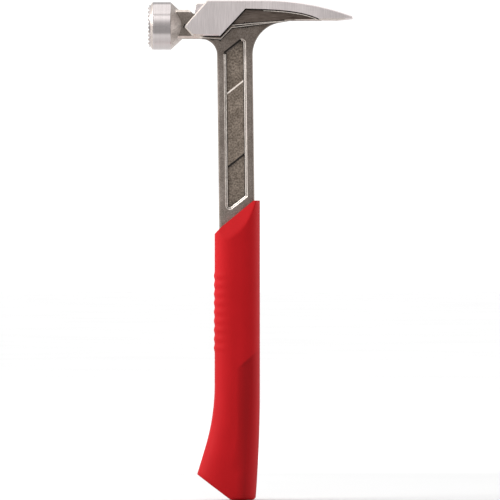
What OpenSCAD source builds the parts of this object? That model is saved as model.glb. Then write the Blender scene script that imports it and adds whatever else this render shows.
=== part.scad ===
// One-piece forged framing hammer with a milled face, straight rip claws and a moulded grip.
// Z runs up the handle, the striking face looks towards -X, the claws towards +X.
// The origin is the middle of the hand's hold, on the grip's axis.

/* [Overall] */
// Length from the lowest point of the butt to the top of the head
overall_len = 381; // [372:1:392]
// Height of the hand's hold above the lowest point of the butt
hold_h = 103; // [98:1:108]

/* [Bell] */
// Diameter of the bell
bell_d = 36.8; // [35.6:0.2:37.6]
// Drop of the bell's axis below the top of the head
bell_drop = 19.4; // [19:0.1:20]
// Reach of the striking face from the grip's axis
face_reach = 68; // [66:0.5:70]
// Length of the straight rim behind the face
face_rim = 1.7; // [1.4:0.1:2]
// Length of the straight land round the bell
bell_land = 13; // [12:0.2:14]
// Length along the axis of the bevel between the rim and the land
face_bevel_len = 2.7; // [2.4:0.1:3]
// Width of that bevel, measured across the axis
face_bevel_w = 2.4; // [2:0.1:2.8]
// Small bevel at the back edge of the land
land_bevel = 0.3; // [0.2:0.1:0.6]
// Angle between the bell's rear cone and its axis
cone_angle = 43; // [39:1:47]
// Depth of the milled grooves between the teeth of the face
tooth_h = 1.3; // [1:0.1:1.4]
// Spacing of the teeth of the face
tooth_pitch = 2.95; // [2.85:0.05:3.2]

/* [Neck] */
// Thickness of the neck from side to side
neck_t = 21; // [20:0.5:22]
// Drop of the neck's top below the top of the head
neck_drop = 7.2; // [6.8:0.1:7.6]
// Height of the neck
neck_h = 21.9; // [21.4:0.1:22.4]
// Bevel along the neck's four long edges
neck_bevel = 1.8; // [1.2:0.1:2.2]

/* [Nail set] */
// Distance of the wall that a nail's head rests on from the grip's axis
stop_reach = 32; // [31:0.5:33]
// Drop of the top of that wall below the top of the head
stop_drop = 2.5; // [2:0.1:3]
// Length of the flat on top of that wall
stop_land = 7; // [6:0.5:8]
// Bevel at the top of that wall
stop_bevel = 0.6; // [0.4:0.1:1]
// Drop of a set nail's centre line below the top of the head
nail_drop = 6; // [5.6:0.1:6.4]
// Diameter of the round-bottomed groove that holds the nail
nail_groove_d = 5; // [4.8:0.1:5.2]
// Diameter of the notch's room for the nail's head
nail_head_d = 8.4; // [8:0.1:9]
// Flat length at the bottom of the nail head's notch
notch_flat = 1.6; // [1.2:0.1:2]
// Diameter of the round magnet
magnet_d = 6.35; // [6:0.05:6.6]
// Height of the magnet
magnet_h = 4; // [3:0.5:5]
// Distance of the magnet's centre from the nail stop
magnet_back = 8; // [7.5:0.1:8.5]
// Radial clearance round the magnet
magnet_gap = 0.05; // [0.03:0.01:0.08]

/* [Cheeks] */
// Thickness of the head over its ground cheeks
cheek_t = 24; // [23.4:0.2:24.8]
// Distance of the cheek's front corner from the grip's axis
cheek_tip_reach = 40.4; // [39.8:0.2:41]
// Drop of the cheek's front corner below the top of the head
cheek_tip_drop = 20.2; // [19.6:0.2:20.8]
// Distance of the front end of the head's flat top from the grip's axis
cheek_top_reach = 22.6; // [22:0.2:23.4]
// Drop of the cheek's lower edge below the top of the head
cheek_low_drop = 27.2; // [26.8:0.1:27.6]
// Distance of the front end of the cheek's lower edge from the grip's axis
cheek_low_front = 34.3; // [33.8:0.1:34.8]
// Distance of the rear end of the cheek's lower edge in front of the grip's axis
cheek_low_rear = 13.2; // [12.8:0.1:13.6]
// Distance behind the grip's axis where the cheek narrows to the claw's ground band
band_start = 6.2; // [5.8:0.1:6.6]
// Height of the claw's ground band where it leaves the cheek
band_h = 6.4; // [6:0.1:6.8]
// Depth of the dark side panel below the ground faces
panel_depth = 2.8; // [2.4:0.1:3.2]
// Depth of the lip round the panel below the ground faces
lip_depth = 1.1; // [0.9:0.1:1.4]
// Width of the lip round the panel
lip_w = 1.8; // [1.5:0.1:2.1]

/* [Claws] */
// Reach of the claws' tips from the grip's axis
claw_reach = 88.2; // [86:0.2:90]
// Distance behind the grip's axis where the claw's top starts to curve
claw_start = 18.9; // [18:0.3:20]
// Radius of the claw's curved top
claw_top_r = 200; // [185:5:220]
// Thickness of the claws at their tips
claw_tip_t = 1.6; // [1.4:0.1:2]
// Drop of the claw's underside below the top of the head
claw_under_drop = 15.3; // [15:0.1:15.6]
// Width over the two claws at their widest
claw_w = 31; // [30:0.5:32.5]
// Width over the two claws at their tips
claw_tip_w = 28.5; // [27.5:0.5:29.5]
// Distance of the widest place from the claws' tips
claw_wide_back = 24; // [20:1:28]
// Width of the nail slot at the claws' tips
slot_mouth = 10.4; // [10:0.2:11]
// Width of the nail slot at its root
slot_root = 3; // [2.8:0.1:3.4]
// Length of the nail slot
slot_len = 46; // [43:1:49]
// Width of the bevel on the slot's lower edges
slot_bevel = 1.6; // [1.2:0.1:2]

/* [Shank] */
// Width of the shank from front to back
shank_w = 27.2; // [26.6:0.2:27.8]
// Thickness of the shank from side to side
shank_t = 10.8; // [10.2:0.2:11.4]
// Forward lean of the shank, in degrees
shank_lean = 0.68; // [0.4:0.02:0.9]
// Forward set of the shank's middle where it enters the grip
shank_set = 0.45; // [0:0.05:0.8]
// Fillet between the neck's underside and the shank
front_fillet = 12.5; // [11.5:0.5:13]
// Fillet between the claw's underside and the shank
rear_fillet = 25; // [23.5:0.5:26]
// Radius of the flare from the shank's thickness to the head's
flare_r = 26; // [24:1:28]
// Drop of the flare's lower end below the top of the head
flare_drop = 43; // [41.5:0.5:44]
// Width of the flange in front of the pocket
flange_front = 5; // [4.6:0.1:5.4]
// Width of the flange behind the pocket
flange_rear = 5.1; // [4.7:0.1:5.5]
// Depth of the pocket in each side of the shank
pocket_depth = 2.9; // [2.5:0.1:3.1]
// Width of the bevel round the pocket's rim
pocket_bevel = 1; // [0.8:0.1:1.2]
// Drop of the pocket's highest front corner below the top of the head
pocket_top_drop = 39.3; // [38.8:0.1:40]
// Height of the pocket's lowest front corner above the front of the grip's mouth
pocket_low_rise = 15; // [14:0.2:16]
// Slope of the pocket's slanted ends, in degrees
pocket_slope = 38; // [35:1:41]
// Radius of the pocket's two round corners
pocket_r = 3.2; // [2.8:0.1:3.6]
// Height of the raised pad in the middle of the pocket, above the pocket's floor
pad_rise = 1.6; // [1.2:0.1:2]
// Drop of the pad's upper front corner below the top of the head
pad_top_drop = 72.2; // [69:0.2:75.4]
// Length of the pad along the shank
pad_len = 57.2; // [54:0.2:60.4]

/* [Tang] */
// Width of the tang
tang_w = 16; // [15:0.5:18]
// Thickness of the tang
tang_t = 6.5; // [6:0.5:7.5]
// Height of the tang's end above the lowest point of the butt
tang_low = 23; // [21:1:26]
// Bevel of the tang's end corners
tang_bevel = 3; // [2:0.5:4]
// Diameter of the anchor holes through the tang
anchor_d = 7; // [6:0.5:8]
// Spacing of the anchor holes
anchor_pitch = 50; // [46:1:53]

/* [Grip] */
// Depth of the grip from front to back
grip_d = 34.6; // [34:0.2:35.4]
// Thickness of the grip from side to side
grip_t = 27; // [26:0.5:28.5]
// Thickness of the grip at its butt
butt_t = 29; // [28:0.5:30.5]
// Length of the grip, from the butt to its highest point
grip_len = 228.3; // [222:0.5:233]
// Height of the slanted cut at the grip's mouth
mouth_drop = 25.5; // [24.5:0.5:26.5]
// Length of the flat at the back of the grip's mouth
mouth_flat = 4.9; // [4:0.1:5.4]
// Height of the steeper corner in front of the grip's mouth
mouth_corner_h = 4.8; // [4:0.2:5.6]
// Width of the steeper corner in front of the grip's mouth
mouth_corner_w = 4.6; // [4.1:0.1:5.1]
// Thickness of the grip at the edge of its mouth
mouth_t = 17.5; // [16.5:0.5:18.5]
// Width of the sloping facet below the mouth's edge
mouth_facet = 11.2; // [10:0.2:12.4]
// Height above the butt where the front of the grip starts to curve forward
heel_h = 88; // [84:1:92]
// Radius of the forward curve at the front of the grip
heel_r = 165; // [150:5:180]
// Angle of the straight front below that curve, in degrees
heel_angle = 16.7; // [15:0.5:18]
// Height above the butt where the back of the grip starts to curve forward
back_h = 83; // [78:1:88]
// Radius of the curve at the back of the grip
back_r = 1050; // [900:50:1300]
// Height of the slanted butt's front corner
butt_rise = 19.4; // [18:0.2:21]
// Distance of the slanted butt's lower end in front of the grip's axis
butt_low_reach = 5; // [4:0.5:6]
// Rounding of the butt's corners
butt_round = 3; // [2:0.5:4]
// Number of finger ribs along the front of the grip
rib_count = 9; // [7:1:9]
// Spacing of the finger ribs
rib_pitch = 6.9; // [6.6:0.1:7.2]
// Height of the finger ribs
rib_h = 0.6; // [0.4:0.05:0.8]
// Height of the lowest rib's centre above the butt
rib_low = 115.6; // [113:0.4:118]

/* [Grip core] */
// Width of the rigid core inside the grip
core_w = 26; // [25:0.5:27]
// Thickness of the rigid core inside the grip
core_t = 18; // [17:0.5:19]
// Bevel along the core's edges
core_bevel = 3.5; // [3:0.25:4]
// Height of the core's lower end above the butt
core_low = 15; // [14:0.5:17]
// Height of the core's upper end above the butt
core_top = 190; // [184:1:192]
// Clearance between the steel, the core and the sleeve
mould_gap = 0.1; // [0.05:0.05:0.2]

/* [Hidden] */
$fn = 96;
// Overrun of every cut past the faces that it opens
over = 1;
// Thickness of the two slices that a sloping cut is stretched between
slice = over / 100;
head_z = overall_len - hold_h;
butt_z = -hold_h;
bell_z = head_z - bell_drop;
bell_r = bell_d / 2;
neck_top_z = head_z - neck_drop;
neck_low_z = neck_top_z - neck_h;
nail_z = head_z - nail_drop;
notch_z = nail_z - nail_head_d / 2;
bell_len = face_rim + face_bevel_len + bell_land;
land_end_x = bell_len - face_reach;
cone_low_r = bell_r / 2;
cone_len = (bell_r - land_bevel - cone_low_r) / tan(cone_angle);
tooth_half_count = floor((bell_r - face_bevel_w) / tooth_pitch);
magnet_x = -stop_reach - magnet_back;
magnet_top_z = nail_z - nail_groove_d / 2;
claw_under_z = head_z - claw_under_drop;
claw_tip_angle = asin((claw_reach - claw_start) / claw_top_r);
claw_tip_top_z = head_z - claw_top_r * (1 - cos(claw_tip_angle));
claw_tip_z = claw_tip_top_z - claw_tip_t;
grip_top_z = butt_z + grip_len;
mouth_front_z = grip_top_z - mouth_drop;
shank_end_z = butt_z + core_top + mould_gap;
tang_z = butt_z + tang_low;
front_fillet_z = neck_low_z - front_fillet;
rear_fillet_z = claw_under_z - lip_w / 2 - rear_fillet;
flare_z = head_z - flare_drop;
pocket_low_z = mouth_front_z + pocket_low_rise;
web_t = shank_t - 2 * pocket_depth;
// Shares of the ground band's length and drop at the two middle points of its lower edge
band_length_shares = [0.416, 0.79];
band_drop_shares = [0.057, 0.18];
// Share of the grip's half depth behind its front where the ribs fade out
rib_wrap_share = 0.5;
// Share of the butt's slant at which the cut along it ends, past its front corner
slant_share = 1.2;
// Exponent of the rounded oval that the grip's cross-sections follow
oval_power = 2.5;
ring_points = 40;
rings_below_ribs = 11;
rings_above_ribs = 3;
rings_per_rib = 4;
arc_steps = 10;
fillet_steps = 24;
plan_steps = 28;

function unit(v) = v / norm(v);
function mix(a, b, s) = a + (b - a) * s;
function at(x, drop) = [x, head_z - drop];
function arc(centre, r, from, to, steps) =
    [for (i = [0:steps]) let (a = mix(from, to, i / steps)) centre + r * [cos(a), sin(a)]];
function ease(s) = s * s * (3 - 2 * s);
function clamp(s) = min(1, max(0, s));
function bezier(p, s) =
    pow(1 - s, 3) * p[0] + 3 * pow(1 - s, 2) * s * p[1] + 3 * (1 - s) * s * s * p[2] + pow(s, 3) * p[3];

// Corner b of an outline between a and c, rounded to a radius r
function corner(a, b, c, r) =
    r == 0 ? [b] :
    let (u = unit(a - b), v = unit(c - b), half = acos(u * v) / 2, turn = 180 - 2 * half,
         centre = b + unit(u + v) * r / sin(half),
         from = b + u * r / tan(half) - centre, to = b + v * r / tan(half) - centre)
    [for (i = [0:arc_steps]) let (s = i / arc_steps)
        centre + (sin((1 - s) * turn) * from + sin(s * turn) * to) / sin(turn)];
function rounded(points, radii) =
    let (n = len(points))
    [for (i = [0:n - 1]) each corner(points[(i + n - 1) % n], points[i], points[(i + 1) % n], radii[i])];

// Rectangle of size w by h about the origin, with its corners cut at 45 degrees
function bevelled_box(w, h, bevel) =
    [[-w / 2 + bevel, -h / 2], [w / 2 - bevel, -h / 2], [w / 2, -h / 2 + bevel], [w / 2, h / 2 - bevel],
     [w / 2 - bevel, h / 2], [-w / 2 + bevel, h / 2], [-w / 2, h / 2 - bevel], [-w / 2, -h / 2 + bevel]];

// Middle, front and back of the leaning shank at height z
function shank_mid(z) = -shank_set - (z - grip_top_z) * tan(shank_lean);
function shank_front(z) = shank_mid(z) - shank_w / 2;
function shank_back(z) = shank_mid(z) + shank_w / 2;

// Half width of the ground faces at x, seen from above
function ground_half(x) =
    let (wide_x = claw_reach - claw_wide_back,
         out = ease(clamp((x - band_start) / (wide_x - band_start))),
         in = ease(clamp((x - wide_x) / (claw_reach - wide_x))))
    (in > 0 ? mix(claw_w, claw_tip_w, in) : mix(cheek_t, claw_w, out)) / 2;

// Plan of the head from x = from to the claws' tips, drawn in by inset on each side
function head_plan(from, inset) =
    let (xs = [from, for (i = [0:plan_steps]) mix(band_start, claw_reach + over, i / plan_steps)])
    concat([for (x = xs) [x, inset - ground_half(x)]],
           [for (i = [len(xs) - 1:-1:0]) [xs[i], ground_half(xs[i]) - inset]]);

claw_top_arc = arc([claw_start, head_z - claw_top_r], claw_top_r, 90, 90 - claw_tip_angle, fillet_steps);
front_fillet_arc =
    arc([shank_front(front_fillet_z) - front_fillet, front_fillet_z], front_fillet, 0, 90, fillet_steps);
rear_fillet_arc =
    arc([shank_back(rear_fillet_z) + rear_fillet, rear_fillet_z], rear_fillet, 90, 180, fillet_steps);
head_top = [at(-stop_reach, stop_drop + stop_bevel), at(-stop_reach + stop_bevel, stop_drop),
            at(-stop_reach + stop_land, stop_drop), at(-cheek_top_reach, 0)];
claw_end = [[claw_reach, claw_tip_z], [claw_reach - claw_wide_back / 2, claw_under_z]];

// Side view of the forging behind the nail stop: head, claws, shank and tang
steel_side = concat(head_top, claw_top_arc, claw_end,
    [[shank_back(rear_fillet_z) + rear_fillet + lip_w * 2, claw_under_z]], rear_fillet_arc,
    [[shank_back(shank_end_z), shank_end_z], [tang_w / 2, shank_end_z], [tang_w / 2, tang_z + tang_bevel],
     [tang_w / 2 - tang_bevel, tang_z], [-tang_w / 2 + tang_bevel, tang_z], [-tang_w / 2, tang_z + tang_bevel],
     [-tang_w / 2, shank_end_z], [shank_front(shank_end_z), shank_end_z]],
    front_fillet_arc, [[-stop_reach, neck_low_z]]);

// Front view of the forging: wide at the claws, flared below them, then the shank and the tang
function steel_front_half(side) =
    let (lower = arc([shank_t / 2 + flare_r, flare_z], flare_r, 180,
                     180 - acos(1 - (cheek_t - 2 * panel_depth - shank_t) / 2 / flare_r), fillet_steps))
    [for (p = concat([[tang_t / 2, tang_z - over], [tang_t / 2, shank_end_z], [shank_t / 2, shank_end_z]],
                     lower, [[claw_w, lower[fillet_steps][1]], [claw_w, head_z + over]])) [side * p[0], p[1]]];
steel_front = concat(steel_front_half(1),
    [for (i = [len(steel_front_half(-1)) - 1:-1:0]) steel_front_half(-1)[i]]);

// Side view of the ground cheek and the ground band along the claw
band_low = [at(band_start, band_h),
            for (k = [0, 1]) at(mix(band_start, claw_reach - claw_wide_back, band_length_shares[k]),
                                mix(band_h, claw_under_drop, band_drop_shares[k])),
            [claw_reach - claw_wide_back, claw_under_z]];
ground_side = concat([at(-cheek_tip_reach, cheek_tip_drop), at(-cheek_top_reach, 0)], claw_top_arc, claw_end,
    [for (i = [fillet_steps:-1:0]) bezier(band_low, i / fillet_steps)],
    [at(-cheek_low_rear, cheek_low_drop), at(-cheek_low_front, cheek_low_drop)]);

// Side view of the narrow lip below the dark panel, along the cheek and the claw's underside
lip_knee = at(band_start + lip_w * 2 - (cheek_low_drop - band_h) / 2, (cheek_low_drop + band_h) / 2 + lip_w * 2);
lip_end = [shank_back(rear_fillet_z) + rear_fillet, claw_under_z];
lip_low = [-cheek_low_rear + lip_w / 2, neck_low_z - lip_w / 4];
lip_side = [at(-cheek_top_reach, cheek_low_drop + lip_w / 4), at(-cheek_low_rear, cheek_low_drop + lip_w / 4),
            lip_knee + [-lip_w / 4, lip_w], lip_end + [0, lip_w / 4], lip_end - [0, lip_w / 2],
            lip_knee + [lip_w / 4, -lip_w / 4], lip_low, [-cheek_top_reach, neck_low_z]];

// Side view of one stretch of the pocket, between two slanted ends given by their front corners
function pocket_side(top_z, low_z, grow, r) =
    let (front = flange_front - grow, rear = flange_rear - grow, reach = grow / cos(pocket_slope),
         rise = (shank_w - front - rear) * tan(pocket_slope))
    rounded([[shank_front(low_z) + front, low_z - reach],
             [shank_back(low_z + rise) - rear, low_z + rise - reach],
             [shank_back(top_z + rise) - rear, top_z + rise + reach],
             [shank_front(top_z) + front, top_z + reach]], [r, 0, r, 0]);

// Front and back of the grip at height z
function grip_front(z) =
    let (d = max(0, butt_z + heel_h - z), bend = heel_r * sin(heel_angle))
    -grip_d / 2 - (d < bend ? heel_r - sqrt(heel_r * heel_r - d * d)
                            : heel_r * (1 - cos(heel_angle)) + (d - bend) * tan(heel_angle));
function grip_back(z) =
    let (d = max(0, butt_z + back_h - z))
    grip_d / 2 - (back_r - sqrt(back_r * back_r - d * d));
function grip_half_t(z) = mix(butt_t, grip_t, ease(clamp((z - butt_z) / heel_h))) / 2;
// Height of the finger ribs over the grip's plain front at height z
function rib(z) =
    let (s = (z - butt_z - rib_low) / rib_pitch)
    s < -0.5 || s > rib_count - 0.5 ? 0 : rib_h * (1 + cos(360 * s)) / 2;
function oval(c, power) = sign(c) * pow(abs(c), 2 / power);
// One cross-section of the grip, with its ribs fading out behind the fingers
function grip_ring(z) =
    let (front = grip_front(z), back = grip_back(z), t = grip_half_t(z))
    [for (i = [0:ring_points - 1])
        let (a = 360 * i / ring_points, fade = clamp((-cos(a) - rib_wrap_share) / (1 - rib_wrap_share)))
        [mix(front, back, 0.5) + (back - front) / 2 * oval(cos(a), oval_power) - rib(z) * fade,
         t * oval(sin(a), oval_power), z]];
rib_rings = rib_count * rings_per_rib;
rib_zs = [for (i = [0:rib_rings]) butt_z + rib_low + (i / rings_per_rib - 0.5) * rib_pitch];
grip_zs = concat(
    [for (i = [0:rings_below_ribs]) mix(butt_z - over, rib_zs[0] - rib_pitch, i / rings_below_ribs)], rib_zs,
    [for (i = [1:rings_above_ribs]) mix(rib_zs[rib_rings], grip_top_z + over, i / rings_above_ribs)]);
// Side view of the grip, with its slanted mouth and slanted butt
butt_low = [-butt_low_reach, butt_z];
butt_corner = [grip_front(butt_z + butt_rise), butt_z + butt_rise];
grip_side = rounded(
    [mix(butt_low, butt_corner, slant_share), butt_low, [grip_back(butt_z), butt_z], [grip_d, mouth_front_z],
     [grip_d, grip_top_z], [grip_d / 2 - mouth_flat, grip_top_z],
     [-grip_d / 2 + mouth_corner_w, mouth_front_z + mouth_corner_h], [-grip_d / 2, mouth_front_z],
     [-grip_d, mouth_front_z]],
    [0, butt_round, butt_round, 0, 0, 0, 0, 0, 0]);

module from_side(t) {
    rotate([90, 0, 0]) linear_extrude(height = t, center = true) children();
}

module from_front(from, to) {
    translate([from, 0, 0]) rotate([90, 0, 90]) linear_extrude(height = to - from) children();
}

// The bell: a rim and a land turned round its axis, coned behind, with its milled face
module bell() {
    difference() {
        translate([-face_reach, 0, bell_z]) rotate([0, 90, 0]) rotate_extrude()
            polygon([[0, 0], [bell_r - face_bevel_w, 0], [bell_r - face_bevel_w, face_rim],
                     [bell_r, face_rim + face_bevel_len], [bell_r, bell_len - land_bevel],
                     [bell_r - land_bevel, bell_len], [cone_low_r, bell_len + cone_len],
                     [0, bell_len + cone_len]]);
        for (i = [-tooth_half_count:tooth_half_count]) {
            translate([-face_reach, i * tooth_pitch, bell_z]) rotate([0, 0, 45])
                cube([tooth_h * sqrt(2), tooth_h * sqrt(2), bell_d + over], center = true);
            translate([-face_reach, 0, bell_z + i * tooth_pitch]) rotate([0, 45, 0])
                cube([tooth_h * sqrt(2), bell_d + over, tooth_h * sqrt(2)], center = true);
        }
    }
}

// The neck between bell and cheeks, with the notch that takes a set nail's head
module neck() {
    notch_slope = neck_top_z - notch_z;
    difference() {
        translate([0, 0, neck_low_z + neck_h / 2])
            from_front(land_end_x + cone_len / 4, -stop_reach + stop_land / 2)
                polygon(bevelled_box(neck_t, neck_h, neck_bevel));
        from_side(neck_t + over)
            polygon([[-stop_reach - notch_flat - notch_slope - over, neck_top_z + over],
                     [-stop_reach - notch_flat, notch_z], [-stop_reach, notch_z],
                     [-stop_reach, neck_top_z + over]]);
    }
}

// Head block, shank and tang: the side, front and top views of the forging cut from one another
module core_block() {
    intersection() {
        from_side(claw_w + over) polygon(steel_side);
        from_front(-face_reach, claw_reach + over) polygon(steel_front);
        translate([0, 0, butt_z])
            linear_extrude(height = overall_len + over) polygon(head_plan(-face_reach, panel_depth));
    }
}

// A raised face on both sides of the head, its outline in side view given as points
module raised_face(points, depth) {
    intersection() {
        from_side(claw_w + over) polygon(points);
        translate([0, 0, neck_low_z - lip_w])
            linear_extrude(height = head_z - neck_low_z + lip_w + over)
                polygon(head_plan(-face_reach, depth));
    }
}

// Round-bottomed groove for the nail across the bell and the neck, and the magnet's bore below it
module nail_set_cut() {
    reach = face_reach - stop_reach + over;
    translate([-face_reach - over, 0, nail_z]) rotate([0, 90, 0]) cylinder(d = nail_groove_d, h = reach);
    translate([-face_reach - over, -nail_groove_d / 2, nail_z])
        cube([reach, nail_groove_d, nail_drop + over]);
    translate([magnet_x, 0, magnet_top_z - magnet_h - magnet_gap])
        cylinder(d = magnet_d + 2 * magnet_gap, h = magnet_h + neck_drop);
}

// The nail slot between the claws, bevelled below so that a nail's head can seat
module slot_cut() {
    root_x = claw_reach - slot_len;
    translate([0, 0, claw_under_z - over]) linear_extrude(height = claw_under_drop + 2 * over)
        polygon(concat(arc([root_x, 0], slot_root / 2, 90, 270, arc_steps),
                       [[claw_reach + over, -slot_mouth / 2], [claw_reach + over, slot_mouth / 2]]));
    for (side = [-1, 1]) hull() for (low = [0, 1])
        translate([0, 0, claw_under_z - over + low * (slot_bevel + over)])
            linear_extrude(height = slice)
                polygon([[root_x, 0], [root_x, side * (slot_root / 2 + (1 - low) * (slot_bevel + over))],
                         [claw_reach + over, side * (slot_mouth / 2 + (1 - low) * (slot_bevel + over))],
                         [claw_reach + over, 0]]);
}

// The pocket in both sides of the shank, with its bevelled rim and its raised pad
module pocket_cut() {
    top_z = head_z - pocket_top_drop;
    for (side = [-1, 1]) {
        difference() {
            translate([0, side * (web_t + cheek_t) / 2, 0])
                from_side(cheek_t) polygon(pocket_side(top_z, pocket_low_z, -pocket_bevel, pocket_r));
            translate([0, side * (web_t + pad_rise) / 2, 0])
                from_side(pad_rise)
                    polygon(pocket_side(head_z - pad_top_drop, head_z - pad_top_drop - pad_len, 0, 0));
        }
        hull() for (out = [0, 1])
            translate([0, side * (shank_t / 2 + (out - 1) * pocket_bevel), 0])
                from_side(slice)
                    polygon(pocket_side(top_z, pocket_low_z, (out - 1) * pocket_bevel, pocket_r));
    }
}

module forged_head_and_shank() color([0.62, 0.6, 0.59]) {
    difference() {
        union() {
            bell();
            neck();
            core_block();
            raised_face(ground_side, 0);
            raised_face(lip_side, lip_depth);
        }
        nail_set_cut();
        slot_cut();
        pocket_cut();
        for (i = [-1:1]) translate([0, 0, (shank_end_z + tang_z) / 2 + i * anchor_pitch])
            rotate([90, 0, 0]) cylinder(d = anchor_d, h = tang_t + 2 * over, center = true);
    }
}

module nail_magnet() color([0.75, 0.76, 0.78]) {
    translate([magnet_x, 0, magnet_top_z - magnet_h]) cylinder(d = magnet_d, h = magnet_h);
}

// Rigid core moulded round the tang, with a plug through each anchor hole
module grip_core() color([0.16, 0.16, 0.17]) {
    difference() {
        translate([0, 0, butt_z + core_low]) linear_extrude(height = core_top - core_low)
            polygon(bevelled_box(core_w, core_t, core_bevel));
        translate([0, 0, (tang_z + shank_end_z - mould_gap + over) / 2])
            cube([tang_w + 2 * mould_gap, tang_t + 2 * mould_gap, shank_end_z + mould_gap + over - tang_z],
                 center = true);
    }
    for (i = [-1:1]) translate([0, 0, (shank_end_z + tang_z) / 2 + i * anchor_pitch])
        rotate([90, 0, 0]) cylinder(d = anchor_d - 2 * mould_gap, h = (core_t + tang_t) / 2, center = true);
}

// Outer skin of the grip: a lofted oval with finger ribs
module grip_loft() {
    rings = len(grip_zs);
    n = ring_points;
    points = [for (z = grip_zs) each grip_ring(z)];
    sides = [for (r = [0:rings - 2]) for (i = [0:n - 1])
        let (a = r * n + i, b = r * n + (i + 1) % n) each [[a, a + n, b + n], [a, b + n, b]]];
    low = [for (i = [1:n - 2]) [0, i, i + 1]];
    high = [for (i = [1:n - 2]) [(rings - 1) * n, (rings - 1) * n + i + 1, (rings - 1) * n + i]];
    polyhedron(points = points, faces = concat(sides, low, high));
}

module grip_sleeve() color([0.78, 0.1, 0.14]) {
    mouth_run = [mouth_flat - grip_d + mouth_corner_w, mouth_corner_h - mouth_drop];
    mouth_angle = atan2(-mouth_run[1], -mouth_run[0]);
    facet_angle = atan2((grip_t - mouth_t) / 2, mouth_facet);
    difference() {
        intersection() {
            grip_loft();
            from_side(butt_t + over) polygon(grip_side);
        }
        for (side = [-1, 1]) translate([grip_d / 2 - mouth_flat, side * mouth_t / 2, grip_top_z])
            rotate([0, -mouth_angle, 0]) rotate([side * facet_angle, 0, 0])
                translate([-grip_d * 1.5, side > 0 ? 0 : -grip_t, -grip_t * 2])
                    cube([grip_d * 2, grip_t, grip_t * 3]);
        translate([0, 0, butt_z + core_low - mould_gap])
            linear_extrude(height = core_top - core_low + 2 * mould_gap)
                polygon(bevelled_box(core_w + 2 * mould_gap, core_t + 2 * mould_gap, core_bevel));
        from_side(shank_t + 2 * mould_gap)
            polygon([[shank_front(shank_end_z) - mould_gap, shank_end_z - mould_gap],
                     [shank_back(shank_end_z) + mould_gap, shank_end_z - mould_gap],
                     [shank_back(grip_top_z + over) + mould_gap, grip_top_z + over],
                     [shank_front(grip_top_z + over) - mould_gap, grip_top_z + over]]);
    }
}

forged_head_and_shank();
nail_magnet();
grip_core();
grip_sleeve();
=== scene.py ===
import math

import bmesh
import bpy
import numpy as np
from mathutils import Matrix, Vector
from mathutils.geometry import delaunay_2d_cdt


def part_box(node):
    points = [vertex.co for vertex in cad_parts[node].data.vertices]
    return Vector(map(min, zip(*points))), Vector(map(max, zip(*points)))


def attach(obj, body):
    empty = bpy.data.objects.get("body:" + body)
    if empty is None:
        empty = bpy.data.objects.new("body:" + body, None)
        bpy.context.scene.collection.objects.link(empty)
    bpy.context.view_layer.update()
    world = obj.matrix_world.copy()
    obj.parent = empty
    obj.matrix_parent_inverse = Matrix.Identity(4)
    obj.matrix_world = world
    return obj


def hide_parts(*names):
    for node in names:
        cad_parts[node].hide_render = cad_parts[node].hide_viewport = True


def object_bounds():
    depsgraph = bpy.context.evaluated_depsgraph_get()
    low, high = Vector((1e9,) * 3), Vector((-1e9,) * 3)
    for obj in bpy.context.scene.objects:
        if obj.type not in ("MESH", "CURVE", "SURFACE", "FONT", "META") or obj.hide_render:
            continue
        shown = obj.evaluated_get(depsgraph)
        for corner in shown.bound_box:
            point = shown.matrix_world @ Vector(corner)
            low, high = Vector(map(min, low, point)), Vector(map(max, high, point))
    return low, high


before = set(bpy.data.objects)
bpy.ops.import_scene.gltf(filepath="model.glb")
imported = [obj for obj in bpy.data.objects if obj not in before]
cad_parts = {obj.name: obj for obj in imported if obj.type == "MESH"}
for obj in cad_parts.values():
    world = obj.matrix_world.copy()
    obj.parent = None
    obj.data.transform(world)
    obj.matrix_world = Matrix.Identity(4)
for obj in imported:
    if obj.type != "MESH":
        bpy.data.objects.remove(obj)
cad_low, cad_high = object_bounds()
MM = 0.001

# The moulding's clearance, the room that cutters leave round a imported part, and how far a cutter runs
# past the face that it opens
mould_gap = 0.1
room_gap = 0.12
overrun = 2


def packed_box(node):
    """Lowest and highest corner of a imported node, in millimetres."""
    low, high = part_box(node)
    return np.array(low) / MM, np.array(high) / MM


steel_low, steel_high = packed_box("forged_head_and_shank")
sleeve_low, sleeve_high = packed_box("grip_sleeve")
magnet_low, magnet_high = packed_box("nail_magnet")
magnet_x = (magnet_low[0] + magnet_high[0]) / 2
magnet_r = (magnet_high[0] - magnet_low[0]) / 2
head_z = steel_high[2]
claw_reach = steel_high[0]
face_reach = -steel_low[0]
bell_r = steel_high[1]
tang_z = steel_low[2]
butt_z = sleeve_low[2]
grip_top_z = sleeve_high[2]

# Bell
bell_drop = 19.4
face_rim = 1.7
face_bevel_len = 2.7
face_bevel_w = 2.4
bell_land = 13
land_bevel = 0.3
cone_angle = math.radians(43)
tooth_h = 1.3
tooth_pitch = 2.95
bell_z = head_z - bell_drop
bell_len = face_rim + face_bevel_len + bell_land
land_end_x = bell_len - face_reach

# Neck and nail set
neck_t = 21
neck_drop = 7.2
neck_h = 21.9
neck_bevel = 1.8
neck_in_cone = 2.4
stop_reach = 32
stop_drop = 2.5
stop_land = 7
stop_corner = 0.6
nail_drop = 6
nail_groove_d = 5
notch_drop = 10.2
notch_flat = 1.6
neck_top_z = head_z - neck_drop
neck_low_z = neck_top_z - neck_h

# Cheeks
cheek_t = 24
cheek_tip_reach = 40.4
cheek_tip_drop = 20.2
cheek_top_reach = 22.6
cheek_low_drop = 27.2
cheek_low_front = 34.3
cheek_low_rear = 13.2
band_start = 6.2
band_h = 6.4
low_groove_start = 26
low_groove_full = 23.5
low_corner = 1.5
panel_depth = 2.8
lip_depth = 1.1

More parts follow.
